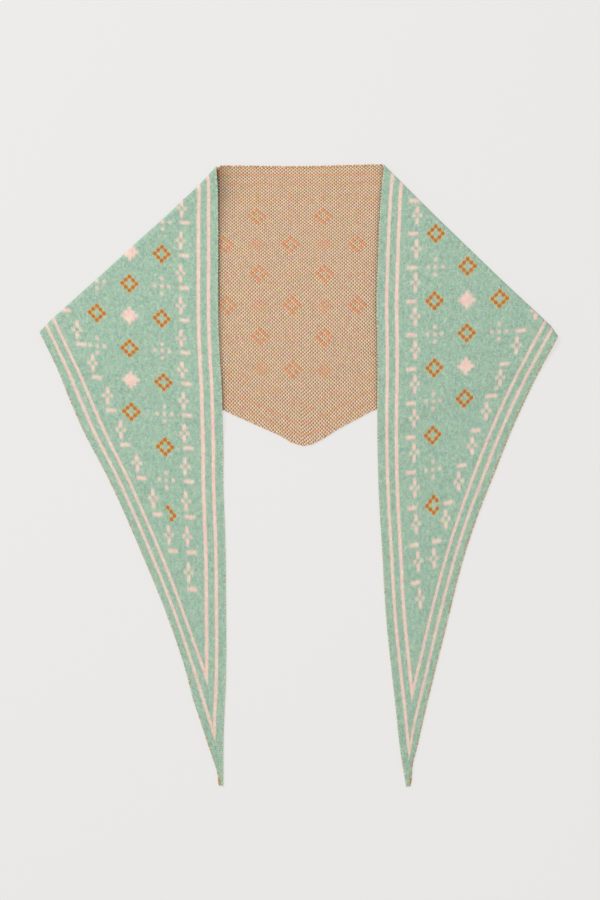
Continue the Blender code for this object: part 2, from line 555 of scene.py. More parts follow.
@dataclass(frozen=True)
class Unwrap:
    """Layout of a sheet's two faces side by side for baking, seen from above and below."""

    share: float = 0.62

    def lay_out(self, mesh: bpy.types.Mesh) -> None:
        """Add the baking map, the upward faces in its left part and the rest in its right.

        Args:
            mesh: The sheet's mesh.
        """
        points = np.empty(len(mesh.vertices) * 3)
        mesh.vertices.foreach_get("co", points)
        normals = np.empty(len(mesh.polygons) * 3)
        mesh.polygons.foreach_get("normal", normals)
        numbers = np.empty(len(mesh.loops), dtype=int)
        mesh.loops.foreach_get("vertex_index", numbers)
        plan = points.reshape(-1, 3)[:, :2]
        plan = (plan - plan.min(axis=0)) / np.ptp(plan, axis=0)
        sizes = np.empty(len(mesh.polygons), dtype=int)
        mesh.polygons.foreach_get("loop_total", sizes)
        places = plan[numbers] * 0.98 + 0.01
        upward = np.repeat(normals.reshape(-1, 3)[:, 2] > 0.0, sizes)
        places[:, 0] = np.where(
            upward, places[:, 0] * self.share, self.share + places[:, 0] * (1.0 - self.share)
        )
        layer = mesh.uv_layers.new(name="OFBake", do_init=False)
        layer.uv.foreach_set("vector", places.ravel())


@dataclass(frozen=True)
class LowerLayer:
    """Plan of the lower layer, wrong side up, between the two folds."""

    chart: KnitChart
    wales: tuple = (
        # wale, x at the middle course, y, course pitch
        WaleStation(0.0, -10.4, 373.6, 2.24),
        WaleStation(33.0, -10.4, 312.5, 2.24),
        WaleStation(51.0, -9.6, 278.8, 2.24),
        WaleStation(69.0, -8.6, 243.8, 2.20),
        WaleStation(87.0, -7.8, 205.7, 2.19),
        WaleStation(105.0, -7.6, 167.8, 2.16),
        WaleStation(123.0, -7.3, 129.5, 2.12),
        WaleStation(166.0, -7.2, 36.0, 2.10),
    )
    upper_edge: tuple = (
        # x, y
        Station(-97.0, 374.2),
        Station(-47.0, 373.6),
        Station(2.0, 373.2),
        Station(53.0, 374.4),
        Station(104.5, 375.8),
    )
    leg_edge: tuple = (
        # x, y
        Station(-313.5, 173.5),
        Station(-88.0, 77.0),
        Station(-23.0, 48.0),
        Station(-9.0, 39.5),
        Station(5.0, 35.2),
        Station(16.0, 37.2),
        Station(28.0, 43.2),
        Station(46.0, 54.8),
        Station(68.5, 66.9),
        Station(88.0, 77.3),
        Station(313.5, 167.0),
    )
    edge_fade: float = 40.0
    clear_span: tuple = (-94.0, 98.0)

    def plan(self, course: np.ndarray, wale: np.ndarray) -> np.ndarray:
        """Lay points of the chart out on the lower layer.

        Args:
            course: Courses of the points.
            wale: Wales of the points.

        Returns:
            Rows of x and y.
        """
        wales, middles, heights, pitches = np.array(self.wales).T
        edge_x, edge_y = np.array(self.upper_edge).T
        leg_x, leg_y = np.array(self.leg_edge).T
        count = self.chart.wales(course)
        wale = self.chart.trimmed(course, wale)

        def place(at: np.ndarray) -> tuple:
            """The wale's own lie, and the upper edge's curve fading out below it."""
            x = through(wales, middles, at) + (course - self.chart.middle) * through(wales, pitches, at)
            curve = through(edge_x, edge_y, x) - heights[0]
            return x, through(wales, heights, at) + curve * (1.0 - ease(at / self.edge_fade))
        x, y = place(wale)
        end_x, end_y = place(count)
        miss = np.interp(end_x, leg_x, leg_y) - end_y
        return np.stack([x, y + miss * (wale / count) ** 3], axis=-1)

    def edge(self, leg: bool, height: float) -> np.ndarray:
        """Points from left to right along the leg edge or the long edge.

        Args:
            leg: Whether it is the leg edge.
            height: Height of the points.

        Returns:
            Rows of x, y and z, between the two laid ends.
        """
        course = np.linspace(self.chart.middle - 60.0, self.chart.middle + 60.0, 240)
        plan = self.plan(course, self.chart.wales(course) * leg)
        plan = plan[(plan[:, 0] > self.clear_span[0]) & (plan[:, 0] < self.clear_span[1])]
        return np.concatenate([plan, np.full((len(plan), 1), height)], axis=1)


@dataclass(frozen=True)
class LaidEnd:
    """Plan and heights of one end, from its fold down to its point."""

    side: Side
    chart: KnitChart
    cloth: Cloth
    rows: tuple
    leg_edge: tuple
    wales: tuple
    bow: tuple
    # painted shadow that the end casts on the middle sheet beside its inner edge
    contact_shadow: tuple
    apex: Station = Station(5.0, 36.0)
    seam: float = 4.3
    bow_fade: float = 40.0

    @property
    def fold_top(self) -> np.ndarray:
        """The fold's upper end, on the long edge."""
        return np.array([self.rows[-1].x, self.rows[-1].y])

    @property
    def fold_corner(self) -> np.ndarray:
        """The fold's lower end, at the shawl's outer corner."""
        return np.array(self.leg_edge[0])

    @property
    def inward(self) -> np.ndarray:
        """Unit vector from the fold into the laid end, square to the fold."""
        along = self.fold_corner - self.fold_top
        along = along / np.hypot(*along)
        return np.array([along[1], -along[0]]) * self.side.value

    @property
    def longest_bend(self) -> float:
        """Length of cloth from where the bend starts to the seam under it."""
        return math.pi * self.cloth.bend_radius + self.seam - self.cloth.bend_start

    def across(self, wale: np.ndarray) -> np.ndarray:
        """Distance of a wale from the long edge along its row, before it is fitted."""
        return np.interp(wale, *np.array(self.wales).T)

    def plan(self, course: np.ndarray, wale: np.ndarray) -> np.ndarray:
        """Lay points of the chart out flat on the end's own plane, unfolded.

        Args:
            course: Courses of the points.
            wale: Wales of the points.

        Returns:
            Rows of x and y.
        """
        courses = np.array([row.course for row in self.rows]) * -self.side.value
        order = np.argsort(courses)
        columns = np.array([row[1:] for row in self.rows]).T
        at = course * -self.side.value
        x, y, slope, stretch = (through(courses[order], column[order], at) for column in columns)
        leg_x, leg_y = np.array(self.leg_edge[::-1]).T
        count = self.chart.wales(course)
        wale = self.chart.trimmed(course, wale)
        reach = self.across(count) * stretch
        for _ in range(8):
            reach = np.abs(through(leg_y, leg_x, y + slope * reach) - x)
        fitted = self.across(wale) * stretch
        fitted = fitted + (reach - self.across(count) * stretch) * (wale / count) ** 3
        return np.stack([x + self.side.value * fitted, y + slope * fitted], axis=-1)

    def height(self, plan: np.ndarray) -> np.ndarray:
        """Height of the middle of the wall where the end lies flat."""
        leg = np.array(self.apex) - self.fold_corner
        leg = leg / np.hypot(*leg)
        outward = np.array([leg[1], -leg[0]]) * -self.side.value
        past_edge = (plan - self.fold_corner) @ outward
        dropped = ease((past_edge - self.cloth.drop_start) / self.cloth.drop)
        from_fold = (plan - self.fold_top) @ self.inward - self.cloth.bend_start
        settled = ease(from_fold / self.cloth.settle)
        layer = self.cloth.wall + self.cloth.layer_gap
        bulge = (self.cloth.bend_rise - layer) * (1.0 - settled)
        return self.cloth.wall / 2.0 + layer * (1.0 - dropped) + bulge

    def place(self, course: np.ndarray, wale: np.ndarray, offset: float) -> np.ndarray:
        """Place points of the chart, on the laid end or round its fold.

        Args:
            course: Courses of the points.
            wale: Wales of the points.
            offset: Their distance from the middle of the wall, to its right side.

        Returns:
            Rows of x, y and z.
        """
        flat = self.plan(course, wale)
        from_fold = (flat - self.fold_top) @ self.inward
        bent = np.clip(self.cloth.bend_start - from_fold, 0.0, self.longest_bend)
        radius = self.cloth.bend_radius
        angle = np.maximum(math.pi / 2.0 - bent / radius, -math.pi / 2.0)
        past = np.maximum(bent - math.pi * radius, 0.0)
        turned = self.cloth.bend_start - (radius + offset) * np.cos(angle) + past
        risen = self.cloth.wall / 2.0 + radius + (radius + offset) * np.sin(angle)
        folded = bent > 0.0
        shift = np.where(folded, turned - from_fold, 0.0)
        along = self.fold_corner - self.fold_top
        share = np.clip((flat - self.fold_top) @ along / (along @ along), 0.0, 1.0)
        bow = np.interp(share, *np.array(self.bow).T) * (1.0 - ease(from_fold / self.bow_fade))
        shift = shift + bow * ease(1.5 + 3.0 * angle / math.pi)
        plan = flat + shift[..., None] * self.inward
        height = np.where(folded, risen, self.height(flat) + offset)
        return np.concatenate([plan, np.maximum(height, 0.0)[..., None]], axis=-1)

    def edge(self, leg: bool) -> np.ndarray:
        """Points down the leg edge or the long edge, from the fold to the point.

        Args:
            leg: Whether it is the leg edge.

        Returns:
            Rows of x, y and z, in the middle of the wall.
        """
        course = np.linspace(self.rows[-1].course, self.rows[0].course, 600)
        wale = self.chart.wales(course) * leg
        laid = (self.plan(course, wale) - self.fold_top) @ self.inward > self.cloth.bend_start
        return self.place(course[laid], wale[laid], 0.0)

    def reaches(self, course: np.ndarray, wale: np.ndarray) -> np.ndarray:
        """Whether points of the chart are on this side of the seam under the fold."""
        from_fold = (self.plan(course, wale) - self.fold_top) @ self.inward
        return self.cloth.bend_start - from_fold < self.longest_bend


@dataclass(frozen=True)
class KnitFinish:
    """Matte knitted yarn whose colours and tones come from each stitch's own data."""

    name: str
    mint: tuple
    mint_dark: tuple
    mint_light: tuple
    mint_fleck: tuple
    blush: tuple
    cream: tuple
    ochre: tuple
    halo: tuple
    ghost: tuple
    ghost_share: float = 0.5
    hue: float = 0.42
    tone: float = 0.045
    scatter: float = 0.06
    roughness: float = 0.92
    sheen: float = 0.25
    patch_scale: float = 160.0
    hue_scale: float = 560.0
    fleck_scale: float = 800.0
    fibre_scale: float = 2600.0
    fibre_depth: float = 0.00012

    def material(self) -> bpy.types.Material:
        """Make the material.

        Returns:
            A material that reads STITCH_DATA and Object coordinates.
        """
        material = bpy.data.materials.new(self.name)
        material.use_nodes = True
        tree = NodeTree(material.node_tree)
        shader = material.node_tree.nodes["Principled BSDF"]
        shader.inputs["Roughness"].default_value = self.roughness
        shader.inputs["Sheen Weight"].default_value = self.sheen
        shader.inputs["Sheen Roughness"].default_value = 0.6
        shader.inputs["Specular IOR Level"].default_value = 0.2
        place = tree.add("ShaderNodeTexCoord").outputs["Object"]
        # tone: random stitch tone, and on the middle sheet also painted shadow beside the ends; it
        # darkens the melange and the colour
        tone = tree.attribute("tone")
        fleck = tree.noise(place, self.fleck_scale, 3.0)
        spread = tree.math("MULTIPLY_ADD", tone, self.scatter, fleck)
        melange = tree.ramp(
            spread,
            [(0.2, self.mint_dark), (0.45, self.mint), (0.62, self.mint_light), (0.9, self.mint_fleck)],
            "LINEAR",
        )
        patch = tree.noise(place, self.patch_scale, 2.0)
        pink = tree.ramp(patch, [(0.4, self.blush), (0.62, self.cream)], "LINEAR")
        pinked = tree.blend("MIX", tree.attribute("blush"), melange, pink)
        share = tree.attribute("ochre")
        dye = tree.ramp(share, [(0.25, self.halo), (0.7, self.ochre)], "LINEAR")
        dyed = tree.blend("MIX", tree.math("MULTIPLY", share, 2.0), pinked, dye)
        ghosted = tree.blend(
            "MIX", tree.math("MULTIPLY", tree.attribute("ghost"), self.ghost_share), dyed, self.ghost
        )
        hued = tree.blend("OVERLAY", self.hue, ghosted, tree.noise(place, self.hue_scale, 2.0, "Color"))
        # multiply by tone, which carries random stitch tone and the painted shadow beside the ends
        toned = tree.blend(
            "MULTIPLY", 1.0, hued, tree.grey(tree.math("MULTIPLY_ADD", tone, self.tone, 1.0))
        )
        tree.join(toned, shader.inputs["Base Color"])
        bump = tree.add("ShaderNodeBump")
        bump.inputs["Distance"].default_value = self.fibre_depth
        tree.join(tree.noise(place, self.fibre_scale, 2.0), bump.inputs["Height"])
        tree.join(bump.outputs["Normal"], shader.inputs["Normal"])
        return material


class NodeTree:
    """Short names for the nodes that the finishes are made of."""

    def __init__(self, tree: bpy.types.NodeTree) -> None:
        """Keep the tree to build in."""
        self.tree = tree

    def add(self, kind: str) -> bpy.types.Node:
        """Add a node of a kind."""
        return self.tree.nodes.new(kind)

    def join(self, source: bpy.types.NodeSocket, target: bpy.types.NodeSocket) -> None:
        """Link one socket to another."""
        self.tree.links.new(source, target)

    def feed(self, target: bpy.types.NodeSocket, value: object) -> None:
        """Link a socket to an input, or set a plain value on it."""
        if isinstance(value, bpy.types.NodeSocket):
            self.join(value, target)
        else:
            target.default_value = value

    def attribute(self, name: str) -> bpy.types.NodeSocket:
        """Read a number from the mesh."""
        node = self.add("ShaderNodeAttribute")
        node.attribute_name = name
        return node.outputs["Fac"]

    def noise(
        self, place: bpy.types.NodeSocket, scale: float, detail: float, output: str = "Fac"
    ) -> bpy.types.NodeSocket:
        """Cloudy noise of a scale in cycles for each metre, as a number or a colour."""
        node = self.add("ShaderNodeTexNoise")
        node.inputs["Scale"].default_value = scale
        node.inputs["Detail"].default_value = detail
        self.join(place, node.inputs["Vector"])
        return node.outputs[output]

    def math(self, operation: str, *values: object) -> bpy.types.NodeSocket:
        """One sum of numbers or sockets."""
        node = self.add("ShaderNodeMath")
        node.operation = operation
        for target, value in zip(node.inputs, values):
            self.feed(target, value)
        return node.outputs["Value"]

    def ramp(self, source: bpy.types.NodeSocket, stops: list, kind: str) -> bpy.types.NodeSocket:
        """Colours along a number from 0 to 1."""
        node = self.add("ShaderNodeValToRGB")
        node.color_ramp.interpolation = kind
        elements = node.color_ramp.elements
        elements[0].position, elements[0].color = stops[0]
        elements[1].position, elements[1].color = stops[-1]
        for position, colour in stops[1:-1]:
            elements.new(position).color = colour
        self.join(source, node.inputs["Fac"])
        return node.outputs["Color"]

    def grey(self, value: bpy.types.NodeSocket) -> bpy.types.NodeSocket:
        """A grey of a number."""
        node = self.add("ShaderNodeCombineColor")
        for target in node.inputs:
            self.join(value, target)
        return node.outputs["Color"]

    def blend(self, kind: str, share: object, first: object, second: object) -> bpy.types.NodeSocket:
        """Blend two colours."""
        node = self.add("ShaderNodeMix")
        node.data_type = "RGBA"
        node.blend_type = kind
        for name, value in (("Factor", share), ("A", first), ("B", second)):
            target = next(s for s in node.inputs if s.name == name and s.enabled)
            self.feed(target, value)
        return next(s for s in node.outputs if s.enabled)


RIGHT_SIDE = KnitFinish(
    name="right side knit",
    mint=linear(158, 190, 168),
    mint_dark=linear(136, 172, 154),
    mint_light=linear(176, 200, 178),
    mint_fleck=linear(206, 190, 176),
    blush=linear(244, 205, 195),
    cream=linear(238, 216, 197),
    ochre=linear(192, 118, 44),
    halo=linear(204, 188, 136),
    ghost=linear(192, 118, 44),
)
WRONG_SIDE = KnitFinish(
    name="wrong side knit",
    mint=linear(200, 180, 142),
    mint_dark=linear(170, 162, 124),
    mint_light=linear(214, 190, 152),
    mint_fleck=linear(228, 186, 156),
    blush=linear(246, 209, 184),
    cream=linear(240, 214, 186),
    ochre=linear(148, 98, 64),
    halo=linear(190, 150, 104),
    ghost=linear(224, 130, 66),
    ghost_share=0.6,
    hue=0.22,
    hue_scale=150.0,
    tone=0.035,
)


@dataclass
class ShawlSheet:
    """What the three sheets of the shawl share: their cloth, finishes and hand-over."""

    name: str
    node: str
    slot: str
    cloth: Cloth
    chart: KnitChart
    flat: tuple
    area: float
    rests_on: tuple
    seed: int

    def dress(self, sheet: bpy.types.Object) -> None:
        """Give the sheet the finishes of its two faces."""
        for finish in (RIGHT_SIDE, WRONG_SIDE):
            known = bpy.data.materials.get(finish.name)
            sheet.data.materials.append(known or finish.material())

    def hand_over(self, sheet: bpy.types.Object) -> bpy.types.Object:
        """Tie the sheet to the frame.

        Args:
            sheet: The finished object.

        Returns:
            The same object.
        """
        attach(sheet, "root")
        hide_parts(self.node)
        return sheet

    def finished(self, shell: Shell) -> bpy.types.Object:
        """Make the sheet of its closed shell, dress it and hand it over."""
        sheet = shell.build(self.name, Unwrap())
        self.dress(sheet)
        return self.hand_over(sheet)


@dataclass
class EndSheet(ShawlSheet):
    """One folded end, right side up, with each stitch as the two legs of a V."""

    end: LaidEnd
    under_fold: float = 8.0
    rim_power: tuple = (1.0, 1.7)

    def stitches(self) -> tuple[np.ndarray, np.ndarray]:
        """Course and wale numbers of the stitches that the end has."""
        tip, fold = self.end.rows[0].course, self.end.rows[-1].course
        low, high = sorted((tip, fold - self.under_fold * self.end.side.value))
        courses = np.arange(math.floor(low), math.ceil(high))
        course, wale = pairs(courses, np.arange(MOST_WALES))
        inside = wale < self.chart.columns(course)
        inside &= np.abs(course + 0.5 - low) < high - low
        course, wale = course[inside], wale[inside]
        reached = self.end.reaches(course + 0.5, wale + 0.5)
        return course[reached], wale[reached]

    def line(self, row: np.ndarray, start: np.ndarray, wale: np.ndarray) -> np.ndarray:
        """Code of the line before a wale: its wale, or LEG_CODE less its place from the leg.

        Args:
            row: Courses of the stitches that the line is asked for.
            start: The course at whose start it is, which is their own or the next.
            wale: Wale numbers of the lines.

        Returns:
            Codes, where a line that ends there has its neighbour's.
        """
        straight, leg = self.chart.limits(start)
        from_leg = self.chart.columns(row) - wale
        ended = np.where(self.chart.along_leg(row) - 1 > leg, straight, LEG_CODE - leg)
        return np.where(wale <= straight, wale, np.where(from_leg <= leg, LEG_CODE - from_leg, ended))

    def spots(self, keys: np.ndarray) -> tuple[np.ndarray, np.ndarray]:
        """Courses and wales of points, from keys of a course, a line's code and 1 for a gap."""
        gap, code, start = keys % 2, keys // 2 % LEG_CODE_SPAN, keys // (2 * LEG_CODE_SPAN)
        course = start + 0.5 * (1 - gap)
        count = self.chart.wales(course)
        straight, leg = self.chart.limits(start)
        own = np.where(code < LEG_CODE // 2, code, count - (LEG_CODE - code))
        following = np.where(code == straight, count - leg, own + 1.0)
        return course, np.where(gap == 1, (own + following) / 2.0, own)

    def ring(self, course: np.ndarray, wale: np.ndarray) -> list[np.ndarray]:
        """Keys round each stitch: near, far, next near, next far, foot and head."""
        corners, middles = [], []
        for along in (0, 1):
            start = course + along
            near, far = (self.line(course, start, wale + over) for over in (0, 1))
            base = start * 2 * LEG_CODE_SPAN
            corners += [base + near * 2, base + far * 2]
            middles.append(base + near * 2 + (near != far))
        return corners + middles

    def skin(self, shell: Shell, keys: list[np.ndarray], offset: float) -> tuple:
        """Add the points of one skin.

        Args:
            shell: The shell to add to.
            keys: Keys of the points of each stitch.
            offset: Distance of the skin from the middle of the wall.

        Returns:
            Point numbers for the keys, and the courses and wales of their points.
        """
        unique, numbers = np.unique(np.concatenate(keys), return_inverse=True)
        course, wale = self.spots(unique)
        added = shell.add_points(self.end.place(course, wale, offset))
        spots = np.stack([course, wale], axis=-1)
        return np.split(added[numbers], len(keys)), np.split(spots[numbers], len(keys))

    def averages(self, keys: list[np.ndarray], stitches: np.ndarray) -> list[np.ndarray]:
        """Mean STITCH_DATA of the stitches that meet at each point round each stitch."""
        _, numbers = np.unique(np.concatenate(keys), return_inverse=True)
        counts = np.bincount(numbers)
        columns = [np.bincount(numbers, np.tile(column, len(keys))) / counts for column in stitches.T]
        means = np.stack(columns, axis=1)
        means[:, :2] **= self.rim_power
        return np.split(means[numbers], len(keys))

    def build(self) -> bpy.types.Object:
        """Build the sheet.

        Returns:
            The finished object.
        """
        shell, rng = Shell(), np.random.default_rng(self.seed)
        course, wale = self.stitches()
        stitches = self.chart.shares(course, wale, self.end.side, rng)
        half, cloth = self.cloth.wall / 2.0, self.cloth
        keys = self.ring(course, wale)
        points, spots = self.skin(shell, keys, half - cloth.valley)
        around = self.averages(keys, stitches)
        for order in ((4, 5, 2, 0), (4, 1, 3, 5)):
            at = np.mean([spots[corner] for corner in order], axis=0)
            crown = shell.add_points(self.end.place(*at.T, half + cloth.crown), crown=True)
            for corner, following in zip(order, order[1:] + order[:1]):
                fan = np.stack([points[corner], points[following], crown], axis=1)
                data = np.stack([around[corner], around[following], stitches], axis=1)
                shell.add_triangles(fan, data, Face.RIGHT)
        upper_groups = len(shell.triangles)
        points, _ = self.skin(shell, keys[:4], -half)
        for order in ((0, 1, 3), (0, 3, 2)):
            corners = np.stack([points[corner] for corner in order], axis=1)
            shell.add_triangles(corners, np.array(MIX), Face.WRONG)
        shell.seal(upper_groups, EDGE_MIX, Face.RIGHT)
        return self.finished(shell)


@dataclass
class MiddleSheet(ShawlSheet):
    """The middle of the shawl, wrong side up, in rows of small staggered stitches."""

    layer: LowerLayer
    ends: tuple
    first_step: int = 94
    last_step: int = 372
    lean: float = 0.16
    blush_ghost: float = 0.35
    corner_reach: float = 5.0

    def clear(self, plan: np.ndarray) -> np.ndarray:
        """Whether points in plan lie between the two seams under the folds."""
        clear = np.ones(len(plan), dtype=bool)
        for end in self.ends:
            clear &= (plan - end.fold_top) @ end.inward > end.seam
        return clear

    def stitches(self) -> tuple[np.ndarray, np.ndarray]:
        """Wale numbers and first third-courses of the stitches that may show."""
        steps = np.arange(self.first_step, self.last_step)
        wale, step = pairs(np.arange(MOST_WALES), steps)
        kept = (step + wale) % 2 == 0
        wale, step = wale[kept], step[kept]
        middle = (step + 1) / 3.0
        inside = wale + 0.1 < self.chart.wales(middle)
        inside &= self.clear(self.layer.plan(middle, wale + 0.5))
        return wale[inside], step[inside]

    def place(self, course: np.ndarray, wale: np.ndarray, height: float) -> np.ndarray:
        """Place points of the chart at a height on the lower layer."""
        plan = self.layer.plan(course, wale)
        return np.concatenate([plan, np.full((len(plan), 1), height)], axis=1)

    def shade(self, plan: np.ndarray) -> np.ndarray:
        """Painted shadow, in steps of tone: darkening of stitches close beside the ends' inner edges,
        where the ends cast their shadow.
        """
        shade = np.zeros(len(plan))
        for end in self.ends:
            edge_y, edge_x = np.array([(row.y, row.x) for row in end.rows]).T
            height, depth, reach = np.array(end.contact_shadow).T
            away = np.abs(plan[:, 0] - np.interp(plan[:, 1], edge_y, edge_x))
            depth, reach = (np.interp(plan[:, 1], height, column) for column in (depth, reach))
            shade += depth * np.exp(-away / reach)
        return shade

    def upper_face(self, shell: Shell, rng: np.random.Generator) -> None:
        """Add the wrong side's stitches, each a shallow V with a raised middle."""
        wale, step = self.stitches()
        yarn = self.chart.birdseye(wale, step)
        front = self.chart.whole(np.floor((step + 1) / 3.0), wale)
        plan = self.layer.plan((step + 1) / 3.0, wale + 0.5)
        corner = np.hypot(*(plan - self.ends[0].fold_top).T)
        ghost = (front == Yarn.OCHRE.value) + self.blush_ghost * (front == Yarn.BLUSH.value)
        ghost = ghost + 2.0 * np.exp(-corner / self.corner_reach)
        # each stitch's random tone, less the painted shadow beside the ends' inner edges
        tone = rng.normal(0.0, 1.0, len(wale)) - self.shade(plan)
        stitches = np.stack([yarn == Yarn.BLUSH.value, yarn == Yarn.OCHRE.value, tone, ghost], axis=1)
        low, high = self.cloth.wall - self.cloth.valley, self.cloth.wall + self.cloth.crown / 2.0
        keys = [
            ((wale + over) * 2 + level) * STEP_SPAN + step + along
            for over, level, along in (
                (0, 0, 0), (0, 0, 1), (0, 0, 2), (0, 1, 2), (1, 0, 2), (1, 0, 1), (1, 0, 0), (0, 1, 0)
            )
        ]
        unique, numbers = np.unique(np.concatenate(keys), return_inverse=True)
        lines, steps = np.divmod(unique, STEP_SPAN)
        points = self.place(steps / 3.0 - self.lean * (lines % 2), lines / 2.0, low)
        ring = np.split(shell.add_points(points)[numbers], len(keys))
        top = self.place((step + 1) / 3.0 - self.lean / 2.0, wale + 0.5, high)
        crown = shell.add_points(top, crown=True)
        for corner, following in zip(ring, ring[1:] + ring[:1]):
            shell.add_triangles(np.stack([corner, following, crown], axis=1), stitches, Face.WRONG)

    def border_points(self, end: LaidEnd, loop: list[int], shell: Shell) -> tuple:
        """Coarse outline of the part hidden under one end, and the stitches that it meets.

        Args:
            end: The end that lies on it.
            loop: Point numbers round the stitches that may show.
            shell: The shell that they are in.

        Returns:
            Outline points from the leg edge up the seam to the long edge, and the
            stretch of the loop from the long edge down to the leg edge.
        """
        left = end.side is Side.LEFT
        limit = (self.first_step if left else self.last_step) / 3.0
        inner = np.linspace(0.0, 20.0, 81)
        column = self.layer.plan(np.full(inner.shape, limit), inner)
        seam_top = column[(column - end.fold_top) @ end.inward > end.seam + 1.0][0]
        corner = end.fold_corner + end.inward * end.seam
        on_seam = seam_top + end.inward * (end.seam - (seam_top - end.fold_top) @ end.inward)
        seam = on_seam + (corner - on_seam) * np.linspace(0.985, 0.02, 9)[:, None]
        courses = limit + np.linspace(2.0, 90.0, 8) * end.side.value
        leg = self.layer.plan(courses, self.chart.wales(courses))
        leg = leg[(leg - end.fold_top) @ end.inward > end.seam + 2.0]
        foot = self.layer.plan(np.array([limit]), self.chart.wales(np.array([limit])))[0]
        outer = np.array([1.5 * end.side.value, 0.0])
        start, stop = shell.nearest(loop, seam_top + outer), shell.nearest(loop, foot + outer)
        stretch = loop[start:stop + 1] if start <= stop else loop[start:] + loop[:stop + 1]
        other = loop[stop:start + 1] if stop <= start else loop[stop:] + loop[:start + 1]
        return np.concatenate([leg, seam]), stretch if len(stretch) < len(other) else other[::-1]

    def hidden_face(self, shell: Shell, loop: list[int], end: LaidEnd) -> None:
        """Fill the upper face between the stitches and one fold, under the end."""
        points, stretch = self.border_points(end, loop, shell)
        height = np.full((len(points), 1), self.cloth.wall - self.cloth.valley)
        added = shell.add_points(np.concatenate([points, height], axis=1))
        numbers = np.array(stretch + added.tolist())
        plan = [Vector(point[:2]) for point in np.concatenate(shell.points)[numbers]]
        filled = delaunay_2d_cdt(plan, [], [list(range(len(plan)))], 1, 1e-7)
        if len(filled[0]) != len(plan):
            raise ValueError("the hidden face crosses its own outline")
        origin = np.array([source[0] for source in filled[3]])
        triangles = numbers[origin[np.array(filled[2])]]
        spots = np.concatenate(shell.points)
        other_way = winding(spots[triangles]) * winding(spots[shell.triangles[0]]).sum() < 0.0
        triangles[other_way] = triangles[other_way][:, ::-1]
        shell.add_triangles(triangles, np.array(MIX), Face.WRONG)

    def lower_face(self, shell: Shell, rng: np.random.Generator) -> None:
        """Add the right side, which rests on the surface, in cells of two by two stitches."""
        course, wale = pairs(np.arange(-90, 240, 2), np.arange(0, MOST_WALES, 2))
        inside = wale + 1.0 < self.chart.wales(course + 1.0)
        inside &= self.clear(self.layer.plan(course + 1.0, wale + 1.0))
        course, wale = course[inside], wale[inside]
        keys = [
            (course + along) * WALE_SPAN + wale + over
            for along, over in ((0, 0), (0, 2), (2, 2), (2, 0))
        ]
        unique, numbers = np.unique(np.concatenate(keys), return_inverse=True)
        courses, wales = (part.astype(float) for part in np.divmod(unique, WALE_SPAN))
        wales = np.minimum(wales, self.chart.wales(courses) - 0.2)
        corners = np.split(shell.add_points(self.place(courses, wales, 0.0))[numbers], 4)
        yarn, tone = self.chart.whole(course, wale), rng.normal(0.0, 1.0, len(course))
        blush, ochre = yarn == Yarn.BLUSH.value, yarn == Yarn.OCHRE.value
        stitches = np.stack([blush, ochre, tone, np.zeros(len(course))], axis=1)
        for order in ((0, 1, 2), (0, 2, 3)):
            triangles = np.stack([corners[corner] for corner in order], axis=1)
            shell.add_triangles(triangles, stitches, Face.RIGHT)

    def build(self) -> bpy.types.Object:
        """Build the sheet.

        Returns:
            The finished object.
        """
        shell, rng = Shell(), np.random.default_rng(self.seed)
        self.upper_face(shell, rng)
        loop = shell.outline(0)
        for end in self.ends:
            self.hidden_face(shell, loop, end)
        upper_groups = len(shell.triangles)
        self.lower_face(shell, rng)
        shell.seal(upper_groups, MIX, Face.WRONG)
        return self.finished(shell)


@dataclass(frozen=True)
class YarnFinish:
    """Matte yarn of one uneven colour."""

    name: str
    colour: tuple
    dark: tuple
    scale: float = 700.0
    roughness: float = 0.92

    def material(self) -> bpy.types.Material:
        """Make the material, or take it if it is made."""
        known = bpy.data.materials.get(self.name)
        if known:
            return known
        material = bpy.data.materials.new(self.name)
        material.use_nodes = True
        tree = NodeTree(material.node_tree)
        shader = material.node_tree.nodes["Principled BSDF"]
        shader.inputs["Roughness"].default_value = self.roughness
        shader.inputs["Specular IOR Level"].default_value = 0.2
        place = tree.add("ShaderNodeTexCoord").outputs["Object"]
        stops = [(0.4, self.dark), (0.6, self.colour)]
        uneven = tree.ramp(tree.noise(place, self.scale, 2.0), stops, "LINEAR")
        tree.join(uneven, shader.inputs["Base Color"])
        return material


OCHRE_YARN = YarnFinish("ochre edge yarn", linear(228, 168, 102), linear(194, 130, 74))
BLUSH_YARN = YarnFinish("blush edge yarn", linear(244, 212, 186), linear(228, 176, 144))
PALE_YARN = YarnFinish("pale edge yarn", linear(232, 230, 204), linear(192, 208, 182))


@dataclass(frozen=True)
class EdgeRun:
    """An edge that loops of yarn wrap over, and the share of its places in each colour."""

    edge: np.ndarray
    outward: int
    pitch: float
    shares: tuple
    knot: int = 0
    size: float = 1.0


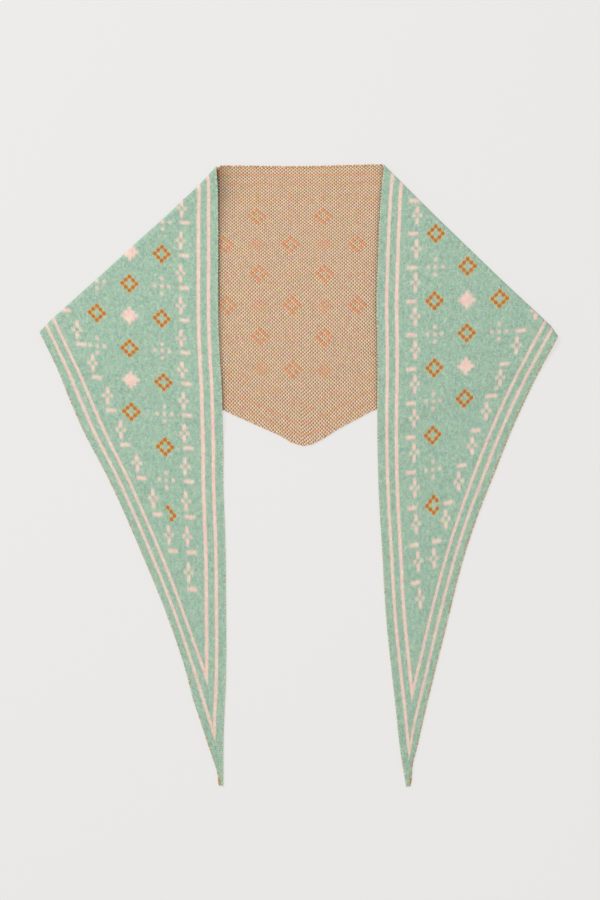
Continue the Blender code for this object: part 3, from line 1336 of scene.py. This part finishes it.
@dataclass
class EdgeYarn:
    """Loops of yarn that wrap over the edges of one sheet here and there."""

    name: str
    slot: str
    runs: tuple
    seed: int
    finishes: tuple = (OCHRE_YARN, BLUSH_YARN, PALE_YARN)
    radius: float = 1.5
    yarn: float = 0.5
    inset: float = 1.3
    foot: float = 1.15
    turn: float = 0.35
    stray: float = 0.3
    flatten: float = 0.85
    knot_length: float = 9.0

    def loop(self) -> bpy.types.Object:
        """Model one loop: a ring of yarn, upright along X, cut open towards the cloth.

        Returns:
            The loop, with its outermost point towards +X.
        """
        clear_selection()
        bpy.ops.mesh.primitive_torus_add(
            major_radius=self.radius * MM, minor_radius=self.yarn * MM, major_segments=14,
            minor_segments=6, generate_uvs=False, rotation=(math.pi / 2.0, 0.0, 0.0),
        )
        loop = bpy.context.active_object
        bpy.ops.object.transform_apply(location=True, rotation=True, scale=True)
        bpy.ops.object.mode_set(mode="EDIT")
        for plane in ((-0.5 * self.radius * MM, (1.0, 0.0, 0.0)), (-self.foot * MM, (0.0, 0.0, 1.0))):
            bpy.ops.mesh.select_all(action="SELECT")
            spot = tuple(plane[0] * axis for axis in plane[1])
            bpy.ops.mesh.bisect(plane_co=spot, plane_no=plane[1], use_fill=True, clear_inner=True)
        bpy.ops.mesh.select_all(action="SELECT")
        bpy.ops.transform.translate(value=(-self.inset * MM, 0.0, 0.0))
        bpy.ops.object.mode_set(mode="OBJECT")
        bpy.ops.object.shade_smooth()
        return loop

    def copies(self, loop: bpy.types.Object, run: EdgeRun, rng: np.random.Generator) -> list:
        """Copy the loop along one edge.

        Args:
            loop: The loop to copy.
            run: The edge.
            rng: The source of its gaps, turns and colours.

        Returns:
            The copies, each with its own mesh.
        """
        steps = np.hypot(*np.diff(run.edge[:, :2], axis=0).T)
        length = np.concatenate([[0.0], np.cumsum(steps)])
        places = np.arange(run.pitch, length[-1] - run.pitch, run.pitch)
        knot_start = length[-1] - self.knot_length * bool(run.knot)
        places = np.append(places, np.linspace(knot_start, length[-1] - 1.5, run.knot))
        chances = (*run.shares, 1.0 - sum(run.shares))
        size = Matrix.Diagonal((run.size, run.size, self.flatten, 1.0))
        copies = []
        for place in places + rng.uniform(-self.stray, self.stray, len(places)) * run.pitch:
            number = rng.choice(len(chances), p=chances)
            if place > knot_start:
                number = 0
            if number == len(self.finishes):
                continue
            here, ahead = (
                np.array([np.interp(at, length, column) for column in run.edge.T])
                for at in (place, place + 1.0)
            )
            heading = math.atan2(ahead[1] - here[1], ahead[0] - here[0]) + run.outward * math.pi / 2.0
            heading += rng.normal(0.0, self.turn)
            copy = bpy.data.objects.new(self.name, loop.data.copy())
            bpy.context.collection.objects.link(copy)
            copy.data.materials.append(self.finishes[number].material())
            spot, turned = Matrix.Translation(Vector(here * MM)), Matrix.Rotation(heading, 4, "Z")
            copy.data.transform(spot @ turned @ size)
            copies.append(copy)
        return copies

    def build(self) -> bpy.types.Object:
        """Build the loops of all the edges as one piece.

        Returns:
            The finished object.
        """
        rng, loop = np.random.default_rng(self.seed), self.loop()
        copies = [copy for run in self.runs for copy in self.copies(loop, run, rng)]
        bpy.data.objects.remove(loop)
        clear_selection()
        for copy in copies:
            copy.select_set(True)
        bpy.context.view_layer.objects.active = copies[0]
        bpy.ops.object.join()
        piece = bpy.context.active_object
        piece.name = self.name
        Unwrap().lay_out(piece.data)
        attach(piece, "root")
        return piece


@dataclass
class Studio:
    """Plain pale floor, soft light and a camera straight above."""

    middle: tuple = (0.00145, 0.03025)
    field_height: float = 1.089
    lens: float = 85.0
    sensor: float = 36.0
    floor_level: float = -0.0002
    floor_size: float = 9.0
    glow: float = 0.775
    lamp_place: tuple = (-1.5, 1.3, 2.6)
    lamp_size: float = 1.6
    lamp_power: float = 51.0
    fill: float = 0.64

    def floor(self) -> bpy.types.Object:
        """Lay the floor."""
        clear_selection()
        bpy.ops.mesh.primitive_plane_add(size=self.floor_size,location=(0.0, 0.0, self.floor_level))
        floor = bpy.context.active_object
        floor.name = "floor"
        bpy.ops.object.transform_apply(location=True, rotation=True, scale=True)
        material = bpy.data.materials.new("pale floor")
        material.use_nodes = True
        shader = material.node_tree.nodes["Principled BSDF"]
        shader.inputs["Base Color"].default_value = linear(120, 119, 118)
        shader.inputs["Roughness"].default_value = 1.0
        shader.inputs["Specular IOR Level"].default_value = 0.0
        shader.inputs["Emission Color"].default_value = linear(234, 233, 231)
        shader.inputs["Emission Strength"].default_value = self.glow
        floor.data.materials.append(material)
        return floor

    def light(self) -> None:
        """Hang one large soft lamp to the upper left, and let pale surroundings fill in."""
        lamp = bpy.data.lights.new("softbox", "AREA")
        lamp.shape = "DISK"
        lamp.size = self.lamp_size
        lamp.energy = self.lamp_power
        key = bpy.data.objects.new("softbox", lamp)
        key.location = self.lamp_place
        key.rotation_euler = (-key.location).to_track_quat("-Z", "Y").to_euler()
        bpy.context.collection.objects.link(key)
        world = bpy.data.worlds.new("studio")
        world.use_nodes = True
        background = world.node_tree.nodes["Background"]
        background.inputs["Color"].default_value = (1.0, 1.0, 1.0, 1.0)
        background.inputs["Strength"].default_value = self.fill
        bpy.context.scene.world = world

    def camera(self) -> None:
        """Look straight down at the laid shawl."""
        camera = bpy.data.cameras.new("camera")
        camera.lens, camera.sensor_width = self.lens, self.sensor
        camera.dof.use_dof = False
        holder = bpy.data.objects.new("camera", camera)
        holder.location = (*self.middle, self.field_height * self.lens / self.sensor)
        bpy.context.collection.objects.link(holder)
        bpy.context.scene.camera = holder

    def build(self) -> None:
        """Set the floor, the lights, the camera and a plain view of colours."""
        self.floor()
        self.light()
        self.camera()
        bpy.context.scene.view_settings.view_transform = "Standard"


CHART = KnitChart()
CLOTH = Cloth(wall=(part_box("centre_panel")[1][2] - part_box("centre_panel")[0][2]) / MM)

LEFT_END = LaidEnd(
    side=Side.LEFT,
    chart=CHART,
    cloth=CLOTH,
    rows=(
        # course, x, y, slope
        RowStation(-293.0, -91.3, -376.5, 0.08),
        RowStation(-268.0, -91.0, -315.0, 0.08),
        RowStation(-240.0, -88.2, -245.0, 0.08),
        RowStation(-198.0, -88.2, -142.0, 0.08),
        RowStation(-180.0, -88.5, -97.6, 0.08, 1.01),
        RowStation(-162.0, -89.7, -54.8, 0.08, 1.02),
        RowStation(-144.0, -91.3, -11.6, 0.075, 1.015),
        RowStation(-126.0, -91.2, 29.6, 0.055, 1.035),
        RowStation(-108.0, -92.0, 68.6, 0.068, 1.035),
        RowStation(-90.0, -93.2, 106.3, 0.075, 1.03),
        RowStation(-72.0, -95.5, 143.9, 0.08, 1.02),
        RowStation(-54.0, -97.2, 182.9, 0.085),
        RowStation(-18.0, -97.4, 261.3, 0.08),
        RowStation(0.0, -97.4, 301.7, 0.075),
        RowStation(18.0, -98.3, 342.0, 0.07),
        RowStation(32.5, -100.2, 373.2, 0.07),
    ),
    leg_edge=(
        # x, y
        Station(-313.5, 173.5),
        Station(-294.0, 133.0),
        Station(-276.8, 90.8),
        Station(-264.0, 61.0),
        Station(-227.0, -11.0),
        Station(-188.5, -98.0),
        Station(-159.0, -170.5),
        Station(-135.0, -243.0),
        Station(-127.6, -272.0),
        Station(-119.4, -296.5),
        Station(-111.6, -320.6),
        Station(-103.4, -344.9),
        Station(-98.9, -359.0),
        Station(-96.4, -376.5),
    ),
    wales=((0.0, 0.0), (6.0, 11.5), (12.0, 23.7), (20.0, 41.2), (33.0, 68.1), (166.0, 356.8)),
    bow=(
        # share of the fold from its top, bow outwards
        (0.0, 0.4), (0.1, 2.5), (0.3, 2.6), (0.45, 1.5), (0.6, 1.3), (0.8, 0.1), (0.93, -0.7),
        (1.0, 0.4),
    ),
    contact_shadow=(
        # y, painted shadow's darkening beside the inner edge, its reach
        (40.0, 13.0, 2.6), (290.0, 15.0, 3.4), (325.0, 17.0, 7.0), (345.0, 20.0, 10.0),
        (368.0, 19.0, 10.0),
    ),
)

RIGHT_END = LaidEnd(
    side=Side.RIGHT,
    chart=CHART,
    cloth=CLOTH,
    rows=(
        # course, x, y, slope
        RowStation(438.0, 129.7, -376.1, 0.18),
        RowStation(420.0, 122.5, -331.8, 0.18, 0.92),
        RowStation(400.0, 117.2, -281.9, 0.18, 0.92),
        RowStation(380.0, 111.6, -231.6, 0.18, 0.92),
        RowStation(360.0, 106.4, -181.3, 0.185, 0.925),
        RowStation(342.0, 103.2, -136.5, 0.18, 0.93),
        RowStation(324.0, 100.8, -90.6, 0.175, 0.935),
        RowStation(306.0, 97.9, -45.6, 0.155, 0.95),
        RowStation(288.0, 96.0, -1.9, 0.14, 0.96),
        RowStation(270.0, 95.0, 41.8, 0.105, 0.975),
        RowStation(252.0, 94.9, 83.2, 0.095, 0.985),
        RowStation(234.0, 95.2, 126.0, 0.058, 0.998),
        RowStation(216.0, 94.7, 168.0, 0.038, 1.015),
        RowStation(198.0, 94.1, 208.6, 0.033, 1.017),
        RowStation(180.0, 95.4, 249.7, 0.03, 1.015),
        RowStation(162.0, 96.7, 290.9, 0.03, 1.012),
        RowStation(144.0, 99.2, 332.1, 0.02, 1.01),
        RowStation(124.5, 104.5, 376.5, 0.01),
    ),
    leg_edge=(
        # x, y
        Station(313.5, 168.0),
        Station(284.5, 113.0),
        Station(257.3, 54.5),
        Station(236.0, 1.0),
        Station(218.8, -42.4),
        Station(204.7, -82.5),
        Station(175.6, -193.5),
        Station(148.4, -305.0),
        Station(142.2, -332.7),
        Station(137.8, -349.0),
        Station(136.0, -369.0),
        Station(134.5, -376.5),
    ),
    wales=((0.0, 0.0), (12.0, 23.4), (20.0, 41.2), (33.0, 68.4), (69.0, 144.8), (166.0, 355.2)),
    bow=(
        (0.0, 2.0), (0.3, 2.0), (0.5, 1.0), (0.65, 0.3), (0.75, -0.6), (0.87, -2.0), (0.95, -2.8),
        (1.0, 0.2),
    ),
    # painted shadow beside the inner edge: y, darkening, its reach
    contact_shadow=((30.0, 8.0, 2.0), (373.0, 10.0, 2.5)),
)


def main() -> None:
    """Build the shawl and the studio, and report each piece."""
    logging.basicConfig(level=logging.INFO, format="%(message)s")
    sheets = [
        MiddleSheet(
            "centre_cloth", "centre_panel", "wrong_side_knit", CLOTH, CHART,
            flat=(0.608, 0.338), area=0.108, rests_on=("floor",), seed=SEED,
            layer=LowerLayer(CHART), ends=(LEFT_END, RIGHT_END),
        ),
        EndSheet(
            "left_end_cloth", "left_end", "right_side_knit", CLOTH, CHART,
            flat=(0.30, 0.72), area=0.078, rests_on=("centre_cloth", "floor"), seed=SEED + 1,
            end=LEFT_END,
        ),
        EndSheet(
            "right_end_cloth", "right_end", "right_side_knit", CLOTH, CHART,
            flat=(0.30, 0.72), area=0.078, rests_on=("centre_cloth", "floor"), seed=SEED + 2,
            end=RIGHT_END,
        ),
    ]
    layer, half = LowerLayer(CHART), CLOTH.wall / 2.0
    yarns = [
        EdgeYarn(
            "centre_edge_yarn", "wrong_side_knit", seed=SEED + 3,
            runs=(
                EdgeRun(layer.edge(False, half), 1, 3.4, (0.92, 0.04, 0.0), size=1.3),
                EdgeRun(layer.edge(True, half), -1, 2.5, (0.5, 0.4, 0.0)),
            ),
        ),
        EdgeYarn(
            "left_edge_yarn", "right_side_knit", seed=SEED + 4,
            runs=(
                EdgeRun(LEFT_END.edge(True), -1, 2.6, (0.16, 0.4, 0.16), knot=8),
                EdgeRun(LEFT_END.edge(False), 1, 2.8, (0.0, 0.12, 0.6)),
            ),
        ),
        EdgeYarn(
            "right_edge_yarn", "right_side_knit", seed=SEED + 5,
            runs=(
                EdgeRun(RIGHT_END.edge(True), 1, 2.2, (0.62, 0.25, 0.05), knot=10),
                EdgeRun(RIGHT_END.edge(False), -1, 2.8, (0.02, 0.24, 0.54)),
            ),
        ),
    ]
    Studio().build()
    for sheet in sheets + yarns:
        piece = sheet.build()
        piece.data.calc_loop_triangles()
        LOG.info("%s: %d triangles", piece.name, len(piece.data.loop_triangles))


if __name__ == "__main__":
    main()
